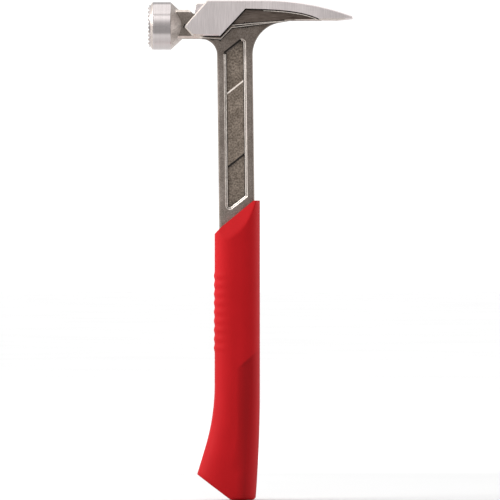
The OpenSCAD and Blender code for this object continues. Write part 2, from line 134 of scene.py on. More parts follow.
# Claws
claw_start = 18.9
claw_top_r = 200
claw_tip_t = 1.6
claw_under_drop = 15.3
claw_w = 31
claw_tip_w = 28.5
claw_wide_back = 24
slot_mouth = 10.4
slot_root = 3
slot_len = 46
slot_bevel = 1.6
wide_x = claw_reach - claw_wide_back
claw_under_z = head_z - claw_under_drop

# Shank and tang
shank_w = 27.2
shank_t = 10.8
shank_lean = math.radians(0.68)
shank_set = 0.45
front_fillet = 12.5
rear_fillet = 25
rear_fillet_gap = 0.9
flare_r = 26
flare_drop = 43
flange_front = 5
flange_rear = 5.1
pocket_depth = 2.9
pocket_top_drop = 39.3
pocket_low_rise = 15
pocket_slope = math.radians(38)
pocket_r = 3.2
pad_rise = 1.6
pad_top_drop = 72.2
pad_len = 57.2
pad_wider = 3
tang_w = 16
tang_t = 6.5
tang_bevel = 3
core_top = 190
flare_z = head_z - flare_drop
shank_end_z = butt_z + core_top + mould_gap

# Grip
grip_d = 34.6
grip_t = 27
butt_t = 29
mouth_drop = 25.5
mouth_flat = 4.9
mouth_corner_h = 4.8
mouth_corner_w = 4.6
mouth_t = 17.5
mouth_facet = 11.2
heel_h = 88
heel_r = 165
heel_angle = math.radians(16.7)
back_h = 83
back_r = 1050
butt_rise = 19.4
butt_low_reach = 5
butt_round = 3
mouth_round = 3
mouth_end_round = 0.8
rib_count = 9
rib_pitch = 6.9
rib_h = 0.6
rib_low = 115.6
mouth_front_z = grip_top_z - mouth_drop

# The finishes of the forging, in the order of its material slots
BLASTED, GROUND, EDGE, TURNED, PAINTED_SHADE, DARK_PANEL, HOLLOW, DULL = range(8)


def at(x, drop):
    """Point of the side view at x, a drop below the top of the head."""
    return (x, head_z - drop)


def ease(s):
    s = np.clip(s, 0, 1)
    return s * s * (3 - 2 * s)


def arc(centre, r, start, end, steps):
    """Points of an arc between two angles in degrees."""
    turns = np.radians(np.linspace(start, end, steps + 1))
    return [(centre[0] + r * math.cos(t), centre[1] + r * math.sin(t)) for t in turns]


def unit(vectors):
    """Vectors, one or a row each, brought to a length of 1."""
    return vectors / np.linalg.norm(vectors, axis=-1, keepdims=True)


def rounded(points, radii, steps=8):
    """A closed outline with each corner rounded to its radius."""
    done = []
    for i, (here, r) in enumerate(zip(points, radii)):
        here = np.array(here, float)
        if r == 0:
            done.append(tuple(here))
            continue
        u = unit(np.array(points[i - 1], float) - here)
        v = unit(np.array(points[(i + 1) % len(points)], float) - here)
        half = math.acos(np.clip(u @ v, -1, 1)) / 2
        turn = math.pi - 2 * half
        centre = here + unit(u + v) * r / math.sin(half)
        a = here + u * r / math.tan(half) - centre
        b = here + v * r / math.tan(half) - centre
        for s in np.linspace(0, 1, steps + 1):
            spoke = (math.sin((1 - s) * turn) * a + math.sin(s * turn) * b) / math.sin(turn)
            done.append(tuple(centre + spoke))
    return done


def resampled(outline, step):
    """A closed outline of rows, its first two numbers a point, with no stretch longer than step."""
    rows = np.array(outline, float)
    done = []
    for a, b in zip(rows, np.roll(rows, -1, 0)):
        count = max(1, math.ceil(np.linalg.norm(b[:2] - a[:2]) / step))
        done.extend(a + (b - a) * i / count for i in range(count))
    return np.array(done)


def drawn_in(outline, widths):
    """A closed anticlockwise outline moved inwards by a width at each of its points."""
    points = outline[:, :2]
    back, ahead = unit(points - np.roll(points, 1, 0)), unit(np.roll(points, -1, 0) - points)
    inward = unit(np.stack([-back[:, 1] - ahead[:, 1], back[:, 0] + ahead[:, 0]], 1))
    least_square = 0.35
    square = np.maximum(least_square, inward[:, 0] * -ahead[:, 1] + inward[:, 1] * ahead[:, 0])
    return points + inward * (np.asarray(widths) / square)[:, None]


def edge_of(points, outline):
    """Signed distance of points from a closed outline, negative inside, and the row nearest to each."""
    rows = np.asarray(outline, float)
    a, b = rows[:, :2], np.roll(rows, -1, 0)[:, :2]
    along = b - a
    distances, nearest = [], []
    for some in np.array_split(points, max(1, len(points) // 2000)):
        away = some[:, None] - a
        s = np.clip((away * along).sum(2) / (along * along).sum(1), 0, 1)
        gap = np.linalg.norm(away - s[..., None] * along, axis=2)
        best = gap.argmin(1)
        share = s[np.arange(len(some)), best][:, None]
        nearest.append(rows[best] * (1 - share) + np.roll(rows, -1, 0)[best] * share)
        crosses = (a[:, 1] > some[:, None, 1]) != (b[:, 1] > some[:, None, 1])
        rise = np.where(along[:, 1] == 0, 1, along[:, 1])
        left = some[:, None, 0] < a[:, 0] + (some[:, None, 1] - a[:, 1]) * along[:, 0] / rise
        inside = (crosses & left).sum(1) % 2 == 1
        distances.append(np.where(inside, -1, 1) * gap.min(1))
    return np.concatenate(distances), np.concatenate(nearest)


def distance(points, outline):
    return edge_of(points, outline)[0]


def linked(name, data):
    """A new object of the scene that shows a mesh, a light or a camera."""
    made = bpy.data.objects.new(name, data)
    bpy.context.scene.collection.objects.link(made)
    return made


def new_piece(name, vertices, faces, materials=(), finishes=None):
    """A mesh object from points in millimetres, with its doubles merged and its faces turned outwards."""
    mesh = bpy.data.meshes.new(name)
    points = [tuple(float(c) * MM for c in vertex) for vertex in vertices]
    mesh.from_pydata(points, [], [list(map(int, face)) for face in faces])
    for material in materials:
        mesh.materials.append(material)
    if finishes is not None:
        mesh.polygons.foreach_set("material_index", np.array(finishes, np.int32))
    clean(mesh)
    return linked(name, mesh)


def clean(mesh, merge=0.002):
    """Merges doubles, drops empty faces and points every face outwards."""
    bm = bmesh.new()
    bm.from_mesh(mesh)
    bmesh.ops.remove_doubles(bm, verts=bm.verts, dist=merge * MM)
    bmesh.ops.dissolve_degenerate(bm, edges=bm.edges, dist=merge * MM / 2)
    bmesh.ops.delete(bm, geom=[v for v in bm.verts if not v.link_faces], context="VERTS")
    bmesh.ops.recalc_face_normals(bm, faces=bm.faces)
    bm.to_mesh(mesh)
    bm.free()


def smooth_below(piece, degrees):
    """Smooth faces with a crease wherever two of them meet at more than an angle."""
    bm = bmesh.new()
    bm.from_mesh(piece.data)
    for face in bm.faces:
        face.smooth = True
    for edge in bm.edges:
        edge.smooth = edge.calc_face_angle(0) < math.radians(degrees)
    bm.to_mesh(piece.data)
    bm.free()


def plain_mesh(piece):
    """Turns what a piece's modifiers make of it into its own mesh and drops them."""
    bpy.context.view_layer.update()
    shown = piece.evaluated_get(bpy.context.evaluated_depsgraph_get())
    made = bpy.data.meshes.new_from_object(shown)
    piece.modifiers.clear()
    piece.data = made
    return piece


def combine(piece, tool, operation):
    """Joins a tool to a piece or cuts it away, and removes the tool."""
    modifier = piece.modifiers.new(operation.lower(), "BOOLEAN")
    modifier.operation = operation
    modifier.solver = "MANIFOLD"
    modifier.object = tool
    plain_mesh(piece)
    bpy.data.objects.remove(tool)


def moved(piece, x, y, z):
    """Moves a piece's mesh by millimetres along each axis."""
    piece.data.transform(Matrix.Translation((x * MM, y * MM, z * MM)))


def lofted(name, rings, materials=(), kinds=None):
    """A closed solid through rings of equally many points, with a finish for each stretch between two."""
    count = len(rings[0])
    kinds = kinds or [0] * (len(rings) - 1)
    faces, finishes = [], []
    for k, kind in enumerate(kinds):
        a, b = k * count, (k + 1) * count
        faces.extend((a + i, a + (i + 1) % count, b + (i + 1) % count, b + i) for i in range(count))
        finishes.extend([kind] * count)
    last = len(kinds) * count
    faces.extend([tuple(range(count)), tuple(range(last, last + count))])
    finishes.extend([kinds[0], kinds[-1]])
    return new_piece(name, [point for ring in rings for point in ring], faces, materials, finishes)


def turned(name, profile, centre, steps, materials=(), kinds=None):
    """A closed solid turned round an axis along X from rows of (distance along the axis, radius)."""
    x, y, z = centre
    turns = [2 * math.pi * i / steps for i in range(steps)]
    rings = [[(x + along, y + r * math.cos(a), z + r * math.sin(a)) for a in turns] for along, r in profile]
    return lofted(name, rings, materials, kinds)


def prism(name, outline, low, high, axis, materials=(), finish=0):
    """A straight solid along an axis over an outline in the other two."""
    def corner(a, b, level):
        return {"X": (level, a, b), "Y": (a, level, b), "Z": (a, b, level)}[axis]
    rings = [[corner(a, b, level) for a, b in outline] for level in (low, high)]
    return lofted(name, rings, materials, [finish])


# Nodes that materials, the light tent and Geometry Nodes trees share
def feed(socket, value):
    """Links an output to a socket, or sets the socket to a plain value."""
    if isinstance(value, bpy.types.NodeSocket):
        socket.id_data.links.new(value, socket)
    else:
        socket.default_value = value


def node(beside, kind, **inputs):
    """A new node in the tree of another node or socket, with its inputs fed by name."""
    made = beside.id_data.nodes.new(kind)
    for name, value in inputs.items():
        feed(made.inputs[name.replace("_", " ")], value)
    return made


def maths(operation, *values):
    """The output of a Math node on numbers and sockets, in the tree of the first socket."""
    beside = next(value for value in values if isinstance(value, bpy.types.NodeSocket))
    made = node(beside, "ShaderNodeMath")
    made.operation = operation
    for socket, value in zip(made.inputs, values):
        feed(socket, value)
    return made.outputs[0]


def product(first, *others):
    """Numbers and sockets multiplied together."""
    for other in others:
        first = maths("MULTIPLY", first, other)
    return first


def split(vector):
    """The X, Y and Z of a vector."""
    return tuple(node(vector, "ShaderNodeSeparateXYZ", Vector=vector).outputs)


def grain(place, per_metre, detail):
    """A noise pattern with a number of cells per metre, or one each along X, Y and Z."""
    scale = per_metre if isinstance(per_metre, tuple) else (per_metre, per_metre, per_metre)
    stretch = node(place, "ShaderNodeMapping", Vector=place, Scale=scale)
    noise = node(place, "ShaderNodeTexNoise", Vector=stretch.outputs[0], Scale=1, Detail=detail,
                 Roughness=0.55)
    return noise.outputs["Fac"]


def between(share, low, high, start=0.3, end=0.7):
    """A number that goes from low to high as a pattern goes from start to end."""
    ranged = node(share, "ShaderNodeMapRange", Value=share, From_Min=start, From_Max=end,
                  To_Min=low, To_Max=high)
    return ranged.outputs["Result"]


def tones(share, *stops):
    """A colour ramp over a pattern: rows of (place on the ramp, colour)."""
    ramp = node(share, "ShaderNodeValToRGB", Fac=share)
    marks = ramp.color_ramp.elements
    while len(marks) < len(stops):
        marks.new(0.5)
    for mark, (spot, colour) in zip(marks, stops):
        mark.position = spot
        mark.color = colour
    return ramp.outputs["Color"]


def linear(red, green, blue):
    """A colour seen as red, green and blue from 0 to 255, as the light that it reflects."""
    def one(c):
        c = c / 255
        return c / 12.92 if c <= 0.04045 else ((c + 0.055) / 1.055) ** 2.4
    return (one(red), one(green), one(blue), 1)


def shades(share, dark, light, start=0.3, end=0.7):
    """A colour that goes from dark to light, both as they are seen, as a pattern goes from start to end."""
    return tones(share, (start, linear(*dark)), (end, linear(*light)))


def tinted(colour, tint, share):
    """A colour multiplied by a tint, as far as a share says."""
    mixed = node(colour, "ShaderNodeMix")
    mixed.data_type = "RGBA"
    mixed.blend_type = "MULTIPLY"
    for socket, value in (("Factor", share), ("A", colour), ("B", tint)):
        feed(mixed.inputs[socket], value)
    return mixed.outputs["Result"]


def shader(name, **inputs):
    """A new material, its principled shader and a Texture Coordinate's Object output."""
    material = bpy.data.materials.new(name)
    material.use_nodes = True
    bsdf = material.node_tree.nodes["Principled BSDF"]
    for socket, value in inputs.items():
        bsdf.inputs[socket.replace("_", " ")].default_value = value
    return material, bsdf, node(bsdf, "ShaderNodeTexCoord").outputs["Object"]


def coat(bsdf, colour, roughness=None):
    """Gives a shader its colour and, where it varies over the surface, its roughness."""
    feed(bsdf.inputs["Base Color"], colour)
    if roughness is not None:
        feed(bsdf.inputs["Roughness"], roughness)


def relief(bsdf, height, depth, strength):
    """Bump of a depth in metres on a shader."""
    bump = node(bsdf, "ShaderNodeBump", Strength=strength, Distance=depth, Height=height)
    feed(bsdf.inputs["Normal"], bump.outputs["Normal"])


# Materials
def blasted_steel():
    """Grey-brown forged skin, shot-blasted: fine pits under broad cloudy patches, with painted shade
    darkening it under the head behind the neck.
    """
    material, bsdf, place = shader("blasted_steel", Metallic=1)
    clouds = grain(place, (90, 90, 60), 4)
    pits = grain(place, 1150, 2)
    cloudy = shades(clouds, (136, 125, 117), (167, 157, 150))
    specks = shades(pits, (160, 155, 148), (255, 255, 255), 0.35, 0.65)
    x, _, z = split(place)
    # Painted shade: the skin under the overhanging head, behind the neck, is darkened where the head's shadow
    # falls
    painted_shade_under_head = product(between(z, 0, 1, 0.234, 0.25), between(x, 0, 1, -0.03, -0.022))
    skin = tinted(tinted(cloudy, specks, 0.6), linear(214, 211, 208), painted_shade_under_head)
    coat(bsdf, skin, between(clouds, 0.5, 0.66))
    relief(bsdf, pits, 0.00016, 0.9)
    return material


def ground_steel():
    """Satin steel off a belt: fine upright grinding lines and slow changes of sheen."""
    material, bsdf, place = shader("ground_steel", Metallic=1)
    lines = grain(place, (2600, 2600, 90), 3)
    slow = grain(place, (60, 60, 20), 2)
    coat(bsdf, shades(lines, (211, 202, 201), (235, 226, 225)), between(slow, 0.34, 0.46))
    relief(bsdf, lines, 0.00003, 0.6)
    return material


def edge_steel():
    """Bright steel where a chamfer was ground through the dark skin, also laid on chamfers, rims and ridges
    as a painted highlight.
    """
    material, bsdf, place = shader("edge_steel", Metallic=1)
    nicks = grain(place, 700, 2)
    coat(bsdf, shades(nicks, (189, 179, 171), (215, 205, 197), 0.3, 0.6), between(nicks, 0.38, 0.26))
    relief(bsdf, nicks, 0.00004, 0.5)
    return material


def turned_steel():
    """The bell, turned in a lathe: fine rings round its axis, along X."""
    material, bsdf, place = shader("turned_steel", Metallic=1)
    rings = grain(place, (3200, 30, 30), 2)
    slow = grain(place, 120, 3)
    coat(bsdf, shades(rings, (191, 183, 182), (202, 195, 194)), between(slow, 0.1, 0.17))
    relief(bsdf, rings, 0.00001, 0.4)
    return material


def painted_shade_steel():
    """Nearly black steel: painted shade in grooves, at the foot of walls, in recesses and on chamfers turned
    from the light.
    """
    material, bsdf, place = shader("painted_shade_steel", Roughness=0.75, Metallic=0.3)
    mottle = grain(place, 1100, 3)
    coat(bsdf, shades(mottle, (30, 26, 23), (52, 46, 41), 0.35, 0.7))
    relief(bsdf, mottle, 0.0001, 0.8)
    return material


def dark_panel_steel():
    """Dark steel under the claws, in fine lines along them and darker towards their tips."""
    material, bsdf, place = shader("dark_panel_steel", Roughness=0.6, Metallic=1)
    lines = grain(place, (160, 900, 2400), 3)
    streaks = shades(lines, (92, 81, 74), (130, 118, 110))
    tipward = between(split(place)[0], 0, 1, 0.005, 0.045)
    coat(bsdf, tinted(streaks, linear(205, 202, 200), tipward))
    relief(bsdf, lines, 0.00008, 0.8)
    return material


def hollow_skin():
    """Blasted skin inside the shank's pockets, darker and coarser because the shot hardly reaches it."""
    material, bsdf, place = shader("hollow_skin", Roughness=0.62, Metallic=1)
    clouds = grain(place, 160, 3)
    pits = grain(place, 750, 3)
    cloudy = shades(clouds, (146, 133, 121), (174, 160, 147))
    coat(bsdf, tinted(cloudy, shades(pits, (125, 121, 116), (255, 255, 255), 0.36, 0.64), 0.7))
    relief(bsdf, pits, 0.00025, 0.9)
    return material


def dull_steel():
    """Duller steel of the bell's front bevel and rear cone."""
    material, bsdf, place = shader("dull_steel", Metallic=1)
    grains = grain(place, (500, 700, 700), 2)
    coat(bsdf, shades(grains, (181, 171, 165), (205, 195, 189), 0.3, 0.6), between(grains, 0.48, 0.38))
    relief(bsdf, grains, 0.00004, 0.5)
    return material


def red_rubber():
    """Soft red moulding with a fine satin skin, with painted shade deepening its rear facet and its lower
    part towards the butt.
    """
    material, bsdf, place = shader("red_rubber", Specular_IOR_Level=0.1)
    satin = grain(place, 1700, 2)
    slow = grain(place, (45, 45, 25), 3)
    x, _, z = split(place)
    rear = maths("SUBTRACT", x, product(z, 0.05))
    above_facet = maths("SUBTRACT", z, product(x, 0.83))
    # Painted shade: the rear facet is darkened as if turned from the light
    facet = product(between(x, 0, 1, -0.001, 0.006), between(rear, 1, 0, 0.01, 0.0168),
                    between(above_facet, 1, 0, -0.0034, -0.0014))
    red = shades(slow, (168, 15, 21), (176, 17, 24))
    red = tinted(red, linear(219, 224, 224), facet)
    # Painted shade: the lower part towards the butt is darkened as the light falls off downwards
    coat(bsdf, tinted(red, linear(246, 246, 246), between(z, 1, 0, -0.012, 0.05)), between(satin, 0.54, 0.66))
    relief(bsdf, satin, 0.00005, 0.35)
    return material


def nickel_plate():
    """Bright plating on the magnet, with faint scuffs."""
    material, bsdf, place = shader("nickel_plate", Metallic=1)
    scuffs = grain(place, 900, 4)
    coat(bsdf, shades(scuffs, (196, 194, 190), (232, 231, 229), 0.35, 0.65), between(scuffs, 0.3, 0.14))
    return material


def black_nylon():
    """The grip's rigid core: black filled nylon with a dull, slightly pitted skin."""
    material, bsdf, place = shader("black_nylon", Roughness=0.55)
    pits = grain(place, 1200, 3)
    coat(bsdf, shades(pits, (30, 30, 32), (46, 46, 48)))
    relief(bsdf, pits, 0.00006, 0.5)
    return material


def pale_floor_finish():
    """Matt pale table, slightly uneven, with painted shade greying it in front of the hammer and white far
    behind it.
    """
    material, bsdf, place = shader("pale_floor_finish", Roughness=0.9)
    uneven = shades(grain(place, 3, 2), (250, 250, 250), (254, 254, 254))
    near_y, far_y = -3, 1.2
    # Painted shade: greys along Y that stand in for the dim light in front of the hammer
    painted_shade_greys = ((near_y, 186), (-0.9, 152), (-0.53, 150), (-0.37, 208), (-0.27, 211), (-0.15, 199), (-0.04, 197),
             (0.03, 208), (0.7, 212), (far_y, 254))
    depth = between(split(place)[1], 0, 1, near_y, far_y)
    stops = (((y - near_y) / (far_y - near_y), linear(grey, grey, grey)) for y, grey in painted_shade_greys)
    coat(bsdf, tinted(uneven, tones(depth, *stops), 1))
    return material


# In the order of the finishes' numbers
steel_finishes = [blasted_steel(), ground_steel(), edge_steel(), turned_steel(), painted_shade_steel(), dark_panel_steel(),
                  hollow_skin(), dull_steel()]


# The forging's side view
def shank_mid(z):
    return -shank_set - (z - grip_top_z) * math.tan(shank_lean)


def shank_front(z):
    return shank_mid(z) - shank_w / 2


def shank_back(z):
    return shank_mid(z) + shank_w / 2


def ground_half(x):
    """Half width of the ground faces at x, seen from above."""
    widening = cheek_t + (claw_w - cheek_t) * ease((x - band_start) / (wide_x - band_start))
    narrowing = claw_w + (claw_tip_w - claw_w) * ease((x - wide_x) / (claw_reach - wide_x))
    return np.where(x > wide_x, narrowing, widening) / 2


def soft_curve(controls, steps):
    """Points of a curve that leaves the first of four points towards the second and ends at the last."""
    a, b, c, d = np.array(controls, float)
    s = np.linspace(0, 1, steps + 1)[:, None]
    curve = (1 - s) ** 3 * a + 3 * (1 - s) ** 2 * s * b + 3 * (1 - s) * s * s * c + s ** 3 * d
    return [tuple(point) for point in curve]


claw_tip_angle = math.degrees(math.asin((claw_reach - claw_start) / claw_top_r))
claw_tip_drop = claw_top_r * (1 - math.cos(math.radians(claw_tip_angle)))
front_fillet_z = neck_low_z - front_fillet
rear_fillet_z = claw_under_z - rear_fillet_gap - rear_fillet

# Width of the edge along each stretch of the outline, whether it is rounded (1) or chamfered (0), and
# whether it is in bright edge steel (1), partly a ground finish and partly a painted highlight
SHANK_EDGE = (1.4, 1, 0)
NECK_EDGE = (neck_bevel, 0, 1)
TOP_EDGE = (0.7, 0, 0)
UNDER_EDGE = (0.7, 0, 1)
TIP_UNDER_EDGE = (1.2, 0, 1)
TIP_EDGE = (0.4, 0, 0)
STOP_EDGE = (0.5, 0, 1)
NOTCH_EDGE = (0.3, 0, 0)
TANG_EDGE = (0.5, 0, 0)

# Chamfer, foot, groove (1 for a full one) and chamfer's slope along each stretch of the ground cheeks' edge
CHEEK_FRONT = (0.7, 0.8, 0, 0.45)
CHEEK_LOW = (1.3, 0.9, 0, 1)
CHEEK_LOW_REAR = (1.3, 0.9, 0.8, 1)
CHEEK_REAR = (0.15, 1.25, 1, 1)
BAND_LOW = (0.15, 0.9, 1, 1)


def edged(edge, *points):
    """Rows of an outline: points that share one edge's numbers."""
    return [(*point, *edge) for point in points]


def forging_outline():
    """Side view of the whole forging behind the bell, anticlockwise, with the edge along it."""
    neck_x = land_end_x + neck_in_cone
    front_x, back_x, tang_x = shank_front(shank_end_z), shank_back(shank_end_z), tang_w / 2
    front_centre = (shank_front(front_fillet_z) - front_fillet, front_fillet_z)
    rear_centre = (shank_back(rear_fillet_z) + rear_fillet, rear_fillet_z)
    step_rise, step_in, step_fall = 0.6, 0.4, 0.2
    neck_lead, fillet_lead, wide_lead, tip_lead, tip_share = 1, 3, 2, 3, 0.94
    notch_foot = notch_drop - neck_drop + NOTCH_EDGE[0]
    top_start = 90 - claw_tip_angle * tip_share
    return resampled([
        *edged(NECK_EDGE, (neck_x, neck_low_z), (front_centre[0] - neck_lead, neck_low_z)),
        *edged(SHANK_EDGE, *arc(front_centre, front_fillet, 75, 0, 20), (front_x, shank_end_z + step_rise)),
        *edged(TANG_EDGE, (front_x + step_in, shank_end_z), (-tang_x, shank_end_z - step_fall),
               (-tang_x, tang_z + tang_bevel), (-tang_x + tang_bevel, tang_z), (tang_x - tang_bevel, tang_z),
               (tang_x, tang_z + tang_bevel), (tang_x, shank_end_z - step_fall),
               (back_x - step_in, shank_end_z)),
        *edged(SHANK_EDGE, (back_x, shank_end_z + step_rise), *arc(rear_centre, rear_fillet, 180, 100, 24)),
        *edged(UNDER_EDGE, (rear_centre[0] + fillet_lead, claw_under_z), (wide_x - wide_lead, claw_under_z)),
        *edged(TIP_UNDER_EDGE, (wide_x + tip_lead, claw_under_z),
               (claw_reach - claw_wide_back / 2, claw_under_z)),
        *edged(TIP_EDGE, at(claw_reach, claw_tip_drop + claw_tip_t), at(claw_reach, claw_tip_drop)),
        *edged(TOP_EDGE, *arc(at(claw_start, claw_top_r), claw_top_r, top_start, 90, 30),
               at(-cheek_top_reach, 0)),
        *edged(STOP_EDGE, at(-stop_reach + stop_land, stop_drop), at(-stop_reach + stop_corner, stop_drop),
               at(-stop_reach, stop_drop + stop_corner)),
        *edged(NOTCH_EDGE, at(-stop_reach, notch_drop), at(-stop_reach - notch_flat, notch_drop)),
        *edged(NECK_EDGE, at(-stop_reach - notch_flat - notch_foot, neck_drop),
               (neck_x, neck_top_z))], side_step)


def band_lower_edge():
    """Lower edge of the claw's ground band."""
    middle = [at(band_start + (wide_x - band_start) * along, band_h + (claw_under_drop - band_h) * down)
              for along, down in ((0.416, 0.057), (0.79, 0.18))]
    return soft_curve([at(band_start, band_h), *middle, at(wide_x, claw_under_drop)], 28)


# Outlines of the faces that the side view shows, from points at x and a drop below the top of the head, and
# the longest stretch between two points of each
side_step, face_step, neck_step, nick_step = 1.3, 1.6, 2.5, 1
outside = 6
front_slope = (cheek_tip_reach - cheek_top_reach) / cheek_tip_drop
cheek_side = resampled([
    *edged(CHEEK_FRONT, at(-cheek_tip_reach, cheek_tip_drop)),
    *edged(CHEEK_LOW, at(-cheek_low_front, cheek_low_drop), at(-low_groove_start, cheek_low_drop)),
    *edged(CHEEK_LOW_REAR, at(-low_groove_full, cheek_low_drop),
           at(-cheek_low_rear - low_corner, cheek_low_drop)),
    *edged(CHEEK_REAR, at(-cheek_low_rear, cheek_low_drop)),
    *edged(BAND_LOW, *band_lower_edge(), at(wide_x, claw_under_drop + outside),
           at(claw_reach + outside, claw_under_drop + outside)),
    *edged(CHEEK_FRONT, at(claw_reach + outside, -outside),
           at(-cheek_top_reach + outside * front_slope, -outside))], face_step)
lip_top = [at(44, 15.3), at(31.3, 16.1), at(11.3, 17.6), at(-4.0, 18.9)]
lip_side = resampled([
    at(-28.5, 28.4), at(-12.6, 29.8), at(-4.2, 21.1), at(2.1, 20.3), at(21.1, 18.0), at(31.3, 16.8),
    at(44, 15.7), *lip_top, at(-14, 25), at(-26, 27.0)], face_step)
neck_side = resampled([
    (-60, neck_low_z - 4), (-26.5, neck_low_z - 4), at(-26.5, 26), at(-stop_reach, 20),
    (-stop_reach, neck_top_z), (-60, neck_top_z)], neck_step)
nick_side = resampled([at(x - cheek_tip_reach, cheek_tip_drop + down)
                       for x, down in ((-1.2, 0.9), (0.1, 0.9), (1.5, -2.1), (0.2, -2.1))], nick_step)


def pocket_outline(top_z, low_z, wider, r):
    """A stretch of the pocket between two slanted ends, anticlockwise from its low front corner."""
    front, rear = flange_front - wider, flange_rear - wider
    slip = wider * math.tan(pocket_slope)
    rise = (shank_w - front - rear) * math.tan(pocket_slope)
    rear_r = 0.5
    return rounded([(shank_front(low_z) + front, low_z - slip),
                    (shank_back(low_z + rise) - rear, low_z - slip + rise),
                    (shank_back(top_z + rise) - rear, top_z - slip + rise),
                    (shank_front(top_z) + front, top_z - slip)], [r, rear_r, r, rear_r])


def on_top_end(rows):
    """1 for each row of the pocket's rim that lies on its upper slanted end, 0 for the others."""
    line = pocket_top_z + (rows[:, 0] - shank_front(pocket_top_z) - flange_front) * math.tan(pocket_slope)
    close = 0.3
    return (np.abs(line - rows[:, 1]) < close) * 1.0


pocket_top_z = head_z - pocket_top_drop
pocket_low_z = mouth_front_z + pocket_low_rise
pocket_rim = resampled(pocket_outline(pocket_top_z, pocket_low_z, 0, pocket_r), face_step)
pocket_rim = np.column_stack([pocket_rim, on_top_end(pocket_rim)])
pad_top_z = head_z - pad_top_drop
pad_side = resampled(pocket_outline(pad_top_z, pad_top_z - pad_len, pad_wider, 0), face_step)
forging_side = forging_outline()

# Where each raised or sunk face changes slope, as distances outside its outline or shares of its foot, and
# by how much it then drops or slopes
WALL_SHARE = 0.3
RISE_SHARE = 0.75
RIDGE_H = 0.25
RIDGE_FALL = 0.5
LIP_CHAMFER = 0.35
LIP_FOOT = 0.7
NECK_FOOT = 0.35
NICK_WALL = 0.3
RIM_STEPS = (0, -0.75, -1.15, -1.8, -2.4)
RIM_DROPS = (0, 0.45, 0.45, 0.85, 0.85)
END_WALL = 1.3
PAD_CHAMFER = 1.1
PAD_FOOT = 0.3
PAD_SLOPE = 0.45
EDGE_SHARES = (0.15, 0.5, 1.0)


def raised(height, d, level, chamfer, foot, slope=0.62):
    """Height with a face raised to a level inside d = 0, chamfered there and standing on a short foot."""
    top = level - np.clip(d + chamfer, 0, chamfer) * slope
    share = np.clip(d / foot, 0, 1)
    return np.where(d < foot, top * (1 - share) + height * share, height)


def plain_height(x, z):
    """Half thickness of the shank, of its flare into the panels under the ground faces, and of the tang."""
    gain = cheek_t / 2 - panel_depth - shank_t / 2
    climb = np.clip(z - flare_z, 0, math.sqrt(flare_r ** 2 - (flare_r - gain) ** 2))
    panel = ground_half(x) - panel_depth
    height = shank_t / 2 + (panel - shank_t / 2) * (flare_r - np.sqrt(flare_r ** 2 - climb ** 2)) / gain
    tang_step = 0.4
    return height + (tang_t / 2 - height) * np.clip((shank_end_z - z) / tang_step, 0, 1)


def add_neck(points, height, finish):
    """The neck in front of the cheeks, and the finish of the panels that the next faces leave open."""
    x, z = points.T
    finish[(x > -stop_reach) & (x < -cheek_top_reach) & (z > head_z - cheek_tip_drop)] = GROUND
    finish[(x > -cheek_top_reach) & (z > np.interp(x, *zip(*lip_top[::-1])))] = DARK_PANEL
    return raised(height, distance(points, neck_side), neck_t / 2, 0, NECK_FOOT)


def add_lip(points, height, finish):
    """The thin lip under the cheeks and the claws, with painted shade along its foot and on its face towards
    the claws, and a painted highlight on its chamfer.
    """
    x, d = points[:, 0], distance(points, lip_side)
    corner_start, corner_end, corner_foot = -cheek_low_rear - 8, band_start + 4, LIP_FOOT + 0.4
    painted_shade_start = band_start - 8
    # Painted shade along the lip's foot and on its face towards the claws; bright edge steel on its chamfer
    # as a painted highlight
    finish[(d > 0) & (d < corner_foot) & (x > corner_start) & (x < corner_end)] = PAINTED_SHADE
    finish[(d > 0) & (d < LIP_FOOT) & (x > band_start)] = PAINTED_SHADE
    finish[(d > -LIP_CHAMFER) & (d < 0)] = EDGE
    finish[d < -LIP_CHAMFER] = np.where(x > painted_shade_start, PAINTED_SHADE, DARK_PANEL)[d < -LIP_CHAMFER]
    return raised(height, d, ground_half(x) - lip_depth, LIP_CHAMFER, LIP_FOOT)


def add_cheek(points, height, finish):
    """The ground cheek and claw band: chamfered, with a groove in painted shade and a ridge with a painted
    highlight along the foot of their edge.
    """
    x = points[:, 0]
    d, nearest = edge_of(points, cheek_side)
    chamfer, foot, groove, slope = nearest[:, 2:6].T
    ridge_start, ridge_run, groove_d = band_start + 14, 8, 0.45
    grooved = (d > 0) & (groove > 0.3)
    finish[d < 0] = np.where(groove > 0, GROUND, EDGE)[d < 0]
    finish[d < -chamfer] = GROUND
    # Painted shade in the groove along the edge's foot, and bright edge steel on the ridge beyond it as a
    # painted highlight
    finish[grooved & (d < foot * RISE_SHARE)] = PAINTED_SHADE
    finish[grooved & (d > foot) & (d < foot + RIDGE_FALL) & (x > ridge_start)] = EDGE

    ridge = RIDGE_H * np.clip((x - ridge_start) / ridge_run, 0, 1)
    height = height + ridge * np.clip((foot + RIDGE_FALL - d) / RIDGE_FALL, 0, 1) * (groove > 0.9)
    top = ground_half(x) - np.clip(d + chamfer, 0, chamfer) * slope
    bottom = ground_half(x) - panel_depth - groove_d
    low = height + (np.minimum(height, bottom) - height) * groove
    wall = np.clip(d / (foot * WALL_SHARE), 0, 1)
    rise = np.clip((d / foot - RISE_SHARE) / (1 - RISE_SHARE), 0, 1)
    inner = top * (1 - wall) + low * wall
    return np.where(d < foot, inner * (1 - rise) + height * rise, height)


def add_nick(points, height, finish):
    """The small nick at the cheek's front corner, its floor dark with painted shade."""
    d, nick_d = distance(points, nick_side), 1.6
    sunk = np.clip(-d / NICK_WALL, 0, 1)
    # Painted shade on the nick's floor
    finish[d < 0] = PAINTED_SHADE
    return height * (1 - sunk) + (neck_t / 2 - nick_d) * sunk


